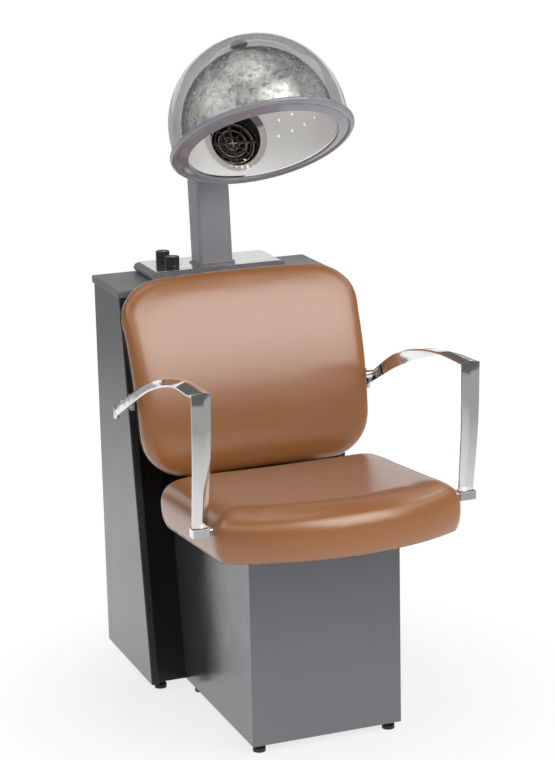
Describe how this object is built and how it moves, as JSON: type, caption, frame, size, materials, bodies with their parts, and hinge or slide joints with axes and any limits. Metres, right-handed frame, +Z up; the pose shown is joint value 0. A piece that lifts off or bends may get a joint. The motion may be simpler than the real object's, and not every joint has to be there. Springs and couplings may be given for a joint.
{
  "type": "hooded dryer chair",
  "caption": "Salon dryer chair: padded seat and curved backrest with metal arms on a box base, and a double-walled tilting hood on a sliding column over a slanted cabinet.",
  "frame": {"origin": "on the floor at the middle of the footprint, between the cabinet's back and the seat's front edge", "axes": "+Z up, -Y the way the sitter faces, +X to the right when facing the chair's front from outside"},
  "size_m": [0.6426, 0.9431, 1.5004],
  "materials": {
    "charcoal_laminate": "satin laminate",
    "black_laminate": "satin laminate",
    "board": "raw",
    "black_plastic": "matte",
    "grey_plastic": "satin",
    "rubber": "matte",
    "grey_paint": "satin",
    "black_steel": "satin",
    "bright_plate": "brushed",
    "steel": "plain",
    "cast_alloy": "cast",
    "chrome": "polished",
    "bright_dome": "polished",
    "clear_dome": "clear smoke",
    "rim_plastic": "gloss",
    "heater_mica": "matte",
    "caramel_vinyl": "satin vinyl",
    "welt_vinyl": "satin vinyl"
  },
  "bodies": {
    "frame": {"cabinet_side_left": "charcoal_laminate", "cabinet_side_right": "charcoal_laminate", "cabinet_edge_mouldings": "black_plastic", "cabinet_front_panel": "black_laminate", "cabinet_back_panel": "charcoal_laminate", "cabinet_bottom": "charcoal_laminate", "cabinet_lid": "charcoal_laminate", "cord_grommet": "black_plastic", "panel_screws": "steel", "levelling_feet": "rubber", "console_housing": "grey_plastic", "console_plate": "bright_plate", "timer_body": "black_plastic", "thermostat_body": "black_plastic", "column_collar": "grey_plastic", "column_guide": "black_steel", "column_lower_bush": "black_plastic", "guide_rail": "black_steel", "base_side_left": "charcoal_laminate", "base_side_right": "charcoal_laminate", "base_front_panel": "charcoal_laminate", "base_bottom": "charcoal_laminate", "base_top": "board", "seat_frame": "board", "seat_cushion": "caramel_vinyl", "backrest_cushion": "caramel_vinyl", "backrest_welt": "welt_vinyl", "backrest_board": "board", "backrest_shell": "caramel_vinyl", "back_uprights": "black_steel", "arm_right": "chrome", "arm_left": "chrome", "arm_foot_brackets": "chrome", "arm_rear_plates": "steel"},
    "column": {"column_tube": "grey_paint", "hinge_yoke": "cast_alloy", "hinge_pin": "steel"},
    "hood": {"hinge_knuckle": "cast_alloy", "outer_dome": "clear_dome", "inner_dome": "bright_dome", "rim_ring": "rim_plastic", "dome_cap": "rim_plastic", "port_ring": "chrome", "fan_housing": "black_plastic", "fan_motor": "steel", "fan_guard": "black_steel", "heater_element": "heater_mica"},
    "fan": {"fan_impeller": "black_plastic"},
    "timer": {"timer_knob": "black_plastic"},
    "heat": {"heat_knob": "black_plastic"}
  },
  "joints": [
    {"name": "column_slide", "type": "slide", "parent": "frame", "child": "column", "axis": [0, 0.0785, 0.9969], "range_m": [-0.05, 0.12]},
    {"name": "hood_tilt", "type": "hinge", "parent": "column", "child": "hood", "pos_m": [0, 0.31036, 1.19729], "axis": [1, 0, 0], "range_deg": [-16, 34]},
    {"name": "fan_spin", "type": "hinge", "parent": "hood", "child": "fan", "pos_m": [0, 0.25237, 1.21951], "axis": [0, 0.829, -0.5592], "continuous": true},
    {"name": "timer_turn", "type": "hinge", "parent": "frame", "child": "timer", "pos_m": [-0.099, 0.44539, 0.94], "axis": [0, 0, -1], "range_deg": [0, 300]},
    {"name": "heat_turn", "type": "hinge", "parent": "frame", "child": "heat", "pos_m": [-0.099, 0.37539, 0.94], "axis": [0, 0, -1], "range_deg": [0, 270]}
  ]
}
